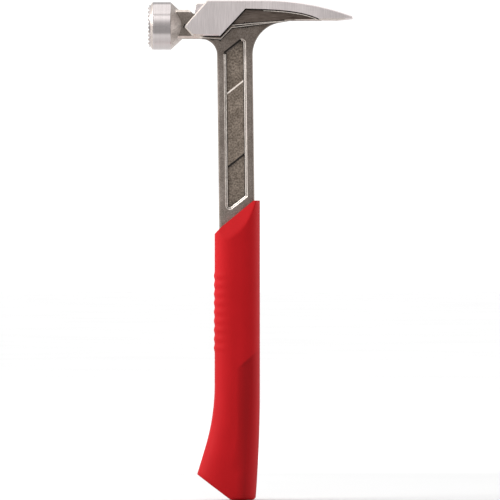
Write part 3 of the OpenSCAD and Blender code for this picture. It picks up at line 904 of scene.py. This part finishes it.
def add_pocket(points, height, finish):
    """The pocket in the shank's side: a stepped rim, a plain wall at its upper end and the raised pad, with
    painted highlights on the rim's chamfers and the pad's upper chamfer, and painted shade on the walls and
    the rest of the pad's chamfer.
    """
    d, nearest = edge_of(points, pocket_rim)
    pad_d, top_end = distance(points, pad_side), nearest[:, 2]
    floor = np.full(len(points), shank_t / 2 - pocket_depth)
    floor = raised(floor, pad_d, shank_t / 2 - pocket_depth + pad_rise, PAD_CHAMFER, PAD_FOOT, PAD_SLOPE)
    rim = height - np.interp(-d, [-step for step in RIM_STEPS], RIM_DROPS)
    last_start, last_end = RIM_STEPS[-2:]
    share = np.clip((last_start - d) / (last_start - last_end), 0, 1)
    stepped = rim * (1 - share) + np.where(d < 0, floor, height) * share
    share = np.clip(-d / END_WALL, 0, 1)
    walled = height * (1 - share) + floor * share

    # The pad's chamfer gets a painted highlight near its top, where it faces the light, and painted shade
    # everywhere else
    painted_highlight_reach = 5
    pad_edge = (d < last_end) & (pad_d > -PAD_CHAMFER) & (pad_d < PAD_FOOT)
    finish[pad_edge] = np.where(points[:, 1] > pad_top_z - painted_highlight_reach, EDGE, PAINTED_SHADE)[pad_edge]
    finish[(d < last_end) & (finish == BLASTED)] = HOLLOW
    # Painted highlights on the rim's chamfers and painted shade on its walls, and painted shade on the wall
    # at the upper end
    for high, low, kind in zip(RIM_STEPS, RIM_STEPS[1:], (EDGE, PAINTED_SHADE, EDGE, PAINTED_SHADE)):
        finish[(d < high) & (d > low) & (top_end < 0.5)] = kind
    finish[(d < 0) & (d > -END_WALL) & (top_end >= 0.5)] = PAINTED_SHADE
    return np.where(d < 0, stepped * (1 - top_end) + walled * top_end, height)


def add_edges(points, height, finish):
    """Rounded or chamfered edges all round the outline."""
    d, nearest = edge_of(points, forging_side)
    least_width = 0.05
    width, round_share = np.maximum(nearest[:, 2], least_width), nearest[:, 3]
    share = np.clip(-d / width, 0, 1)
    curved = 1 - np.sqrt(np.clip(1 - (1 - share) ** 2, 0, 1))
    # Edges flagged bright get the bright edge steel, partly a painted highlight
    finish[(share < 1) & (nearest[:, 4] > 0.5)] = EDGE
    return height - width * (curved * round_share + (1 - share) * (1 - round_share))


def forging_height(points):
    """Half thickness of the forging at points of its side view, and the finish there."""
    height, finish = plain_height(*points.T), np.full(len(points), BLASTED)
    for add in (add_neck, add_lip, add_cheek, add_nick, add_pocket, add_edges):
        height = add(points, height, finish)
    thinnest = 0.3
    return np.maximum(height, thinnest), finish


def sketch_lines():
    """Every line of the side view along which the forging's side changes slope."""
    lines = [forging_side[:, :2]]
    lines.extend(drawn_in(forging_side, forging_side[:, 2] * share) for share in EDGE_SHARES)
    lines.extend([cheek_side[:, :2], drawn_in(cheek_side, cheek_side[:, 2])])
    lines.extend(drawn_in(cheek_side, -cheek_side[:, 3] * share) for share in (WALL_SHARE, RISE_SHARE, 1))
    lines.append(drawn_in(cheek_side, -cheek_side[:, 3] - RIDGE_FALL))
    for outline, steps in ((lip_side, (0, -LIP_CHAMFER, LIP_FOOT)), (neck_side, (0, NECK_FOOT)),
                           (nick_side, (0, -NICK_WALL)), (pocket_rim, (*RIM_STEPS, -END_WALL)),
                           (pad_side, (0, -PAD_CHAMFER, PAD_FOOT))):
        lines.extend(drawn_in(outline, np.full(len(outline), -step)) for step in steps)
    return lines


def filling(lines, spacing=1.7):
    """Points inside the side view, in staggered rows and clear of its lines."""
    low, high = forging_side[:, :2].min(0), forging_side[:, :2].max(0)
    grid = np.stack(np.meshgrid(np.arange(low[0], high[0], spacing), np.arange(low[1], high[1], spacing)), -1)
    grid[1::2, :, 0] += spacing / 2
    grid = grid.reshape(-1, 2)
    inset, clear_share = 0.5, 0.45
    grid = grid[distance(grid, forging_side) < -inset]
    every = np.concatenate(lines)
    parts = np.array_split(grid, len(grid) // 500)
    gaps = [np.linalg.norm(part[:, None] - every, axis=2).min(1) for part in parts]
    return grid[np.concatenate(gaps) > spacing * clear_share]


def forging_relief():
    """The forging behind the bell: both sides from one triangulated side view, joined round its outline."""
    lines = sketch_lines()
    points, edges = [], []
    for line in lines:
        start, count = len(points), len(line)
        points.extend(map(tuple, line))
        edges.extend((start + i, start + (i + 1) % count) for i in range(count))
    points.extend(map(tuple, filling(lines)))
    join_within = 1e-5
    out = delaunay_2d_cdt([Vector(p) for p in points], edges, [], 0, join_within)
    flat = np.array([tuple(v) for v in out[0]])
    triangles = np.array([list(f) for f in out[2]])
    triangles = triangles[distance(flat[triangles].mean(1), forging_side) < 0]
    height, _ = forging_height(flat)
    _, finish = forging_height(flat[triangles].mean(1))
    count = len(flat)
    vertices = np.concatenate([np.stack([flat[:, 0], side * height, flat[:, 1]], 1) for side in (-1, 1)])
    faces = [*map(tuple, triangles), *map(tuple, triangles[:, ::-1] + count)]
    kinds = [*finish, *finish]
    borders = {}
    for triangle in triangles:
        for i in range(3):
            a, b = int(triangle[i]), int(triangle[(i + 1) % 3])
            if (b, a) in borders:
                del borders[(b, a)]
            else:
                borders[(a, b)] = True
    top_start, top_drop = -cheek_top_reach - 3, 14.5
    for a, b in borders:
        faces.append((a, b, b + count, a + count))
        x, z = (flat[a] + flat[b]) / 2
        kinds.append(GROUND if x > wide_x or (x > top_start and z > head_z - top_drop) else BLASTED)
    return new_piece("forging", vertices, faces, steel_finishes, kinds)


def nodes_tree(name, *inputs):
    """A new Geometry Nodes tree with one Geometry output, and its inputs, given as rows of (name, kind)."""
    tree = bpy.data.node_groups.new(name, "GeometryNodeTree")
    for label, kind in inputs:
        tree.interface.new_socket(label, in_out="INPUT", socket_type="NodeSocket" + kind)
    tree.interface.new_socket("Geometry", in_out="OUTPUT", socket_type="NodeSocketGeometry")
    return tree, tree.nodes.new("NodeGroupInput").outputs


def hand_out(shape, material):
    """Ends a tree: its instances made real, in one material, and handed to its output."""
    real = node(shape, "GeometryNodeRealizeInstances", Geometry=shape)
    coloured = node(shape, "GeometryNodeSetMaterial", Geometry=real.outputs["Geometry"], Material=material)
    node(shape, "NodeGroupOutput", Geometry=coloured.outputs["Geometry"])


def groove_bars():
    """Node tree: square bars in a row, turned on edge so that each mills a V into the striking face."""
    tree, given = nodes_tree("groove_bars", ("Bar count", "Int"), ("Spacing", "Float"),
                             ("Groove depth", "Float"), ("Bar length", "Float"), ("Steel", "Material"))
    side = product(given["Groove depth"], math.sqrt(2))
    size = node(side, "ShaderNodeCombineXYZ", X=side, Y=side, Z=given["Bar length"]).outputs[0]
    bar = node(side, "GeometryNodeMeshCube", Size=size).outputs["Mesh"]
    on_edge = node(side, "GeometryNodeTransform", Geometry=bar, Rotation=(0, 0, math.radians(45)))
    step = node(side, "ShaderNodeCombineXYZ", Y=given["Spacing"]).outputs[0]
    row = node(side, "GeometryNodeMeshLine", Count=given["Bar count"], Offset=step).outputs["Mesh"]
    placed = node(side, "GeometryNodeInstanceOnPoints", Points=row, Instance=on_edge.outputs["Geometry"])
    hand_out(placed.outputs["Instances"], given["Steel"])
    return tree


def with_nodes(name, tree, values, base=None):
    """A piece made by a node tree, its inputs set by identifier, as a plain mesh."""
    piece = linked(name, base or bpy.data.meshes.new(name))
    modifier = piece.modifiers.new(name, "NODES")
    modifier.node_group = tree
    for item in tree.interface.items_tree:
        if item.item_type == "SOCKET" and item.in_out == "INPUT" and item.name in values:
            modifier[item.identifier] = values[item.name]
    return plain_mesh(piece)


def bell():
    """The bell with its milled face: rim, bevel, land and rear cone, turned round its axis."""
    rim_r = bell_r - face_bevel_w
    cone_low_r = bell_r / 2
    cone_len = (bell_r - land_bevel - cone_low_r) / math.tan(cone_angle)
    land_x = face_rim + face_bevel_len - 0.5
    rim_edge = 0.35
    bevel_start = ((-0.1, 0), (0.15, 0.12))
    bevel_end = ((-0.8, 0.5), (-0.3, 0.18), (0.2, 0.05), (0.8, 0), (1.1, 0))
    land_end = ((-0.5, 0), (-0.35, 0), (-0.12, 0.08), (0, land_bevel))
    profile = [(0, rim_r - rim_edge), (rim_edge, rim_r),
               *((face_rim + x, rim_r + rise) for x, rise in bevel_start),
               *((land_x + x, bell_r - drop) for x, drop in bevel_end),
               *((bell_len + x, bell_r - drop) for x, drop in land_end),
               (bell_len + cone_len, cone_low_r)]
    cone_row = len(profile) - 2
    dull_rows = (3, 4, cone_row)
    kinds = [DULL if row in dull_rows else TURNED for row in range(len(profile) - 1)]
    head = turned("bell", profile, (-face_reach, 0, bell_z), 160, steel_finishes, kinds)
    half_count = math.floor(rim_r / tooth_pitch)
    bars = {"Bar count": 2 * half_count + 1, "Spacing": tooth_pitch * MM, "Groove depth": tooth_h * MM,
            "Bar length": 3 * bell_r * MM, "Steel": steel_finishes[BLASTED]}
    tree = groove_bars()
    for turn in (0, 90):
        tool = with_nodes("groove_bars", tree, bars)
        moved(tool, 0, -half_count * tooth_pitch, 0)
        tool.data.transform(Matrix.Rotation(math.radians(turn), 4, "X"))
        moved(tool, -face_reach, 0, bell_z)
        combine(head, tool, "DIFFERENCE")
    return head


def nail_groove():
    """Round-bottomed cutter along the top of bell and neck, for the nail."""
    r = nail_groove_d / 2
    section = arc((0, head_z - nail_drop), r, 180, 360, 24) + [(r, head_z + overrun), (-r, head_z + overrun)]
    return prism("nail_groove", section, -face_reach - overrun, -stop_reach, "X", steel_finishes, BLASTED)


def magnet_bore():
    """Cutter for the magnet's seat."""
    outline = arc((magnet_x, 0), magnet_r + room_gap, 0, 360, 48)[:-1]
    return prism("magnet_bore", outline, magnet_low[2], head_z, "Z", steel_finishes, BLASTED)


def nail_slot():
    """Cutter for the slot between the claws, opened out below so that a nail's head can seat."""
    rings = []
    for z, wider in ((claw_under_z - overrun, slot_bevel + overrun), (claw_under_z + slot_bevel, 0),
                     (head_z + overrun, 0)):
        outline = arc((claw_reach - slot_len, 0), slot_root / 2 + wider, 90, 270, 20)
        outline += [(claw_reach + overrun, side * (slot_mouth / 2 + wider)) for side in (-1, 1)]
        rings.append([(x, y, z) for x, y in outline])
    return lofted("nail_slot", rings, steel_finishes, [GROUND, GROUND])


def forging():
    """The whole forging: relief and bell joined, then the nail set and the nail slot cut."""
    steel = forging_relief()
    combine(steel, bell(), "UNION")
    for tool in (nail_groove(), magnet_bore(), nail_slot()):
        combine(steel, tool, "DIFFERENCE")
    smooth_below(steel, 22)
    return steel


# The grip
def grip_front(z):
    d = np.maximum(0, butt_z + heel_h - z)
    bend = heel_r * math.sin(heel_angle)
    curve = heel_r - np.sqrt(np.maximum(0, heel_r ** 2 - np.minimum(d, bend) ** 2))
    return -grip_d / 2 - curve - np.maximum(0, d - bend) * math.tan(heel_angle)


def grip_back(z):
    d = np.maximum(0, butt_z + back_h - z)
    return grip_d / 2 - (back_r - np.sqrt(back_r ** 2 - d ** 2))


def grip_half_t(z):
    return (butt_t + (grip_t - butt_t) * ease((z - butt_z) / heel_h)) / 2


def oval(c):
    """Swells a sine or cosine so that the section is a rounded oval, fuller than an ellipse."""
    oval_power = 2.5
    return np.sign(c) * np.abs(c) ** (2 / oval_power)


def grip_x(z, column):
    front, back = grip_front(z), grip_back(z)
    return (front + back) / 2 - (back - front) / 2 * oval(np.cos(column))


butt_corner = (float(grip_front(butt_z + butt_rise)), butt_z + butt_rise)
butt_low = (-butt_low_reach, butt_z)
mouth_low = (-grip_d / 2 + mouth_corner_w, mouth_front_z + mouth_corner_h)
mouth_high = (grip_d / 2 - mouth_flat, grip_top_z)
slant_share = 1.6
past_corner = tuple(np.array(butt_low) + (np.array(butt_corner) - np.array(butt_low)) * slant_share)
grip_outline = resampled(rounded(
    [past_corner, butt_low, (float(grip_back(butt_z)), butt_z), (grip_d, mouth_front_z), (grip_d, grip_top_z),
     mouth_high, mouth_low, (-grip_d / 2, mouth_front_z), (-grip_d, mouth_front_z)],
    [0, butt_round, butt_round, 0, mouth_end_round, mouth_round, mouth_round, mouth_end_round, 0]), 50)

# The rear facet: its front crease from the top down, and the rear end of its slanted top
facet_crease = [(0.7, -1.8), (0.7, -50), (-1.4, -64), (-3.6, -76), (-3.6, -84)]
facet_top_rear = (13, 8.4)
facet_slope = 0.2


def below_line(x, z, a, b):
    """Distance of points below the line from a to b, which runs to the right."""
    run = unit(np.array(b, float) - np.array(a, float))
    return (x - a[0]) * run[1] - (z - a[1]) * run[0]


def grip_half_y(x, z, column):
    """Half thickness of the grip at a point of its side view."""
    half = grip_half_t(z) * oval(np.sin(column))
    end_r = 3.2
    above = np.minimum(below_line(x, z, butt_low, butt_corner), z - butt_z)
    left = np.clip(end_r - above, 0, end_r)
    half = half * (1 - (end_r - np.sqrt(end_r ** 2 - left ** 2)) / (butt_t / 2))
    facet = mouth_t / 2 + below_line(x, z, mouth_low, mouth_high) * (grip_t - mouth_t) / 2 / mouth_facet
    soft = 0.35
    half = (half + facet - np.sqrt((half - facet) ** 2 + soft ** 2)) / 2
    crease_x, crease_z = zip(*facet_crease[::-1])
    rear = grip_half_t(z) - facet_slope * (x - np.interp(z, crease_z, crease_x))
    top_fade, low_fade = 2.5, 4
    down = below_line(x, z, facet_crease[0], facet_top_rear)
    fade = ease(down / top_fade) * ease((z - crease_z[0]) / low_fade)
    half = half + (np.minimum(half, rear) - half) * fade
    return np.maximum(half, 0)


def grip_shell():
    """The sleeve's outer skin: upright columns round it, cut off along the slanted mouth and butt."""
    column_steps, low_rows, high_rows = 84, 16, 26
    low_join, high_join, row_step = butt_z + 27, mouth_front_z - 6, 0.9
    crowding, halvings = 1.5, 26
    column = np.linspace(0, math.pi, column_steps + 1)
    width = len(column)

    def crossing(inner, outer):
        """The height at which each column leaves the side view, between two heights."""
        near, far = np.full(width, float(inner)), np.full(width, float(outer))
        for _ in range(halvings):
            z = (near + far) / 2
            out = distance(np.stack([grip_x(z, column), z], 1), grip_outline) > 0
            near, far = np.where(out, near, z), np.where(out, z, far)
        return near

    low_end, high_end = crossing(low_join, butt_z - 1), crossing(high_join, grip_top_z + 1)
    low_shares, high_shares = np.linspace(0, 1, low_rows, endpoint=False), np.linspace(0, 1, high_rows)
    rows = [low_end + (low_join - low_end) * s ** crowding for s in low_shares]
    rows += [np.full(width, z) for z in np.arange(low_join, high_join, row_step)]
    rows += [high_join + (high_end - high_join) * (1 - (1 - s) ** crowding) for s in high_shares]
    vertices, faces = [], []
    for z in rows:
        x = grip_x(z, column)
        half = grip_half_y(x, z, column)
        half[0] = half[-1] = 0
        for side in (-1, 1):
            vertices.extend(zip(x, side * half, z))

    def strip(start, across):
        faces.extend((a, a + 1, a + 1 + across, a + across) for a in range(start, start + column_steps))

    for line in range(2 * (len(rows) - 1)):
        strip(line * width, 2 * width)
    for r in (0, len(rows) - 1):
        strip(2 * r * width, width)
    return new_piece("grip_skin", vertices, faces)


def finger_ribs():
    """Node tree: waves the front of the grip out and in, fading towards its sides."""
    tree, given = nodes_tree("finger_ribs", ("Grip", "Geometry"), ("Rib count", "Int"),
                             ("Rib pitch", "Float"), ("Rib height", "Float"), ("Lowest rib", "Float"),
                             ("Rubber", "Material"))
    shape = given["Grip"]
    z = split(node(shape, "GeometryNodeInputPosition").outputs[0])[2]
    facing_x, facing_y, _ = split(node(shape, "GeometryNodeInputNormal").outputs[0])
    turns = maths("DIVIDE", maths("SUBTRACT", z, given["Lowest rib"]), given["Rib pitch"])
    wave = maths("ADD", product(maths("COSINE", product(turns, 2 * math.pi)), 0.5), 0.5)
    first = maths("GREATER_THAN", turns, -0.5)
    last = maths("LESS_THAN", turns, maths("SUBTRACT", given["Rib count"], 0.5))
    wrap_share = 0.1
    front = maths("DIVIDE", maths("SUBTRACT", product(facing_x, -1), wrap_share), 1 - wrap_share)
    fade = maths("MINIMUM", maths("MAXIMUM", front, 0), 1)
    rise = product(wave, given["Rib height"], fade, product(first, last))
    offset = node(shape, "ShaderNodeCombineXYZ", X=product(rise, facing_x), Y=product(rise, facing_y))
    ribbed = node(shape, "GeometryNodeSetPosition", Geometry=shape, Offset=offset.outputs[0])
    hand_out(ribbed.outputs["Geometry"], given["Rubber"])
    return tree


def shank_room(rubber):
    """Cutter for the lower end of the shank in the grip."""
    low, high = shank_end_z - 3, grip_top_z + 5
    outline = [(shank_front(shank_end_z) - room_gap, low), (shank_back(shank_end_z) + room_gap, low),
               (shank_back(high) + room_gap, high), (shank_front(high) - room_gap, high)]
    half = shank_t / 2 + room_gap
    return prism("shank_room", outline, -half, half, "Y", [rubber])


def core_room(rubber):
    """Cutter for the grip's rigid core."""
    core_low, core_high = packed_box("grip_core")
    w, t = core_high[:2] + room_gap
    bevel = 3.5
    plan = [(-w + bevel, -t), (w - bevel, -t), (w, -t + bevel), (w, t - bevel),
            (w - bevel, t), (-w + bevel, t), (-w, t - bevel), (-w, -t + bevel)]
    return prism("core_room", plan, core_low[2] - room_gap, core_high[2] + room_gap, "Z", [rubber])


def grip():
    """The red sleeve: ribbed skin, hollow where the core and the shank sit in it."""
    rubber = red_rubber()
    plain = grip_shell()
    ribs = {"Rib count": rib_count, "Rib pitch": rib_pitch * MM, "Rib height": rib_h * MM,
            "Lowest rib": (butt_z + rib_low) * MM, "Rubber": rubber}
    skin = with_nodes("grip_skin_ribbed", finger_ribs(), ribs, plain.data)
    bpy.data.objects.remove(plain)
    for room in (shank_room(rubber), core_room(rubber)):
        combine(skin, room, "DIFFERENCE")
    smooth_below(skin, 32)
    return skin


def magnet():
    """Round nickel-plated magnet with a small bevel at each end."""
    height = magnet_high[2] - magnet_low[2]
    bevel = 0.35
    end_r = magnet_r - bevel
    profile = [(0, end_r), (bevel, magnet_r), (height - bevel, magnet_r), (height, end_r)]
    disc = turned("magnet_disc", profile, (0, 0, 0), 64, [nickel_plate()])
    disc.data.transform(Matrix.Rotation(math.radians(-90), 4, "Y"))
    moved(disc, magnet_x, 0, magnet_low[2])
    smooth_below(disc, 30)
    return disc


# The stage
def floor():
    """Pale floor under the butt, wide enough to fill the view from above."""
    reach, gap = 30, 0.0005
    z = cad_low[2] - gap
    mesh = bpy.data.meshes.new("floor")
    corners = [(-reach, -reach, z), (reach, -reach, z), (reach, reach, z), (-reach, reach, z)]
    mesh.from_pydata(corners, [], [(0, 1, 2, 3)])
    mesh.materials.append(pale_floor_finish())
    ground = linked("floor", mesh)


def soft_room():
    """A light tent: white behind and at the sides, dimmer in front, with a bright strip above the lens."""
    world = bpy.data.worlds.new("tent")
    bpy.context.scene.world = world
    world.use_nodes = True
    background = world.node_tree.nodes["Background"]
    background.inputs["Color"].default_value = (1, 1, 1, 1)
    x, y, z = split(node(background, "ShaderNodeTexCoord").outputs["Generated"])

    def levels(along, low, high, *stops):
        """Strength along a direction from low to high: rows of (place on the way, strength)."""
        top = max(strength for _, strength in stops)
        rows = [((spot - low) / (high - low), (strength / top,) * 3 + (1,)) for spot, strength in stops]
        return product(tones(between(along, 0, 1, low, high), *rows), top)

    def blend(a, b, share):
        return maths("ADD", product(a, maths("SUBTRACT", 1, share)), product(b, share))

    sweep = levels(x, -1, 1, (-0.85, 0.85), (-0.6, 0.9), (0, 0.87), (0.3, 0.42), (0.6, 0.25), (0.78, 0.9),
                   (0.88, 1.7))
    above = product(between(z, 0, 0.3, 0.35, 0.62), between(x, 1, 0.3, -0.1, 0.4))
    strip = levels(z, 0, 1, (0.03, 0.61), (0.2, 0.69), (0.37, 1.0), (0.5, 1.39), (0.64, 1.67), (0.74, 1.61),
                   (0.78, 1.05), (0.84, 1.05), (0.88, 1.61))
    front = blend(maths("ADD", sweep, above), strip, between(maths("ABSOLUTE", x), 1, 0, 0.14, 0.22))
    left_back = levels(z, 0, 1, (0.06, 1.12), (0.16, 0.85), (0.6, 0.95), (0.85, 1.3))
    right_back = levels(z, 0, 1, (0.08, 1.12), (0.24, 0.7), (0.76, 0.7), (0.84, 1.48))
    back = blend(left_back, right_back, between(x, 0, 1, -0.32, -0.2))
    feed(background.inputs["Strength"], blend(front, back, between(y, 0, 1, -0.5, -0.1)))


def lamp(name, place, watts):
    """A square softbox at a place, in metres, turned to face the hammer."""
    side = 1.2
    hammer_middle = (0.01, 0, 0.1)
    light = bpy.data.lights.new(name, "AREA")
    light.shape = "SQUARE"
    light.size = side
    light.energy = watts
    lit = linked(name, light)
    lit.location = place
    lit.rotation_euler = (Vector(hammer_middle) - Vector(place)).to_track_quat("-Z", "Y").to_euler()


def camera():
    """Level with the hammer and far away, as the photograph was taken."""
    shown_size = 0.38184
    middle = (0.00974, 0.08754)
    away = 6
    lens = bpy.data.cameras.new("camera")
    lens.sensor_width = 36
    lens.lens = lens.sensor_width * away / shown_size
    lens.clip_start, lens.clip_end = 0.1, 100
    eye = linked("camera", lens)
    eye.location = (middle[0], -away, middle[1])
    eye.rotation_euler = (math.radians(90), 0, 0)
    bpy.context.scene.camera = eye


camera()
floor()
soft_room()
lamp("left_softbox", (-1.71, -0.43, 1.12), 48)
lamp("right_softbox", (1.85, 0.55, 0.25), 17)
bpy.context.scene.view_settings.view_transform = "Standard"

steel = forging()
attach(steel, "root")
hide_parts("forged_head_and_shank")

skin = grip()
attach(skin, "root")
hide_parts("grip_sleeve")

disc = magnet()
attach(disc, "root")
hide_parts("nail_magnet")

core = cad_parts["grip_core"]
core.data.materials.clear()
core.data.materials.append(black_nylon())
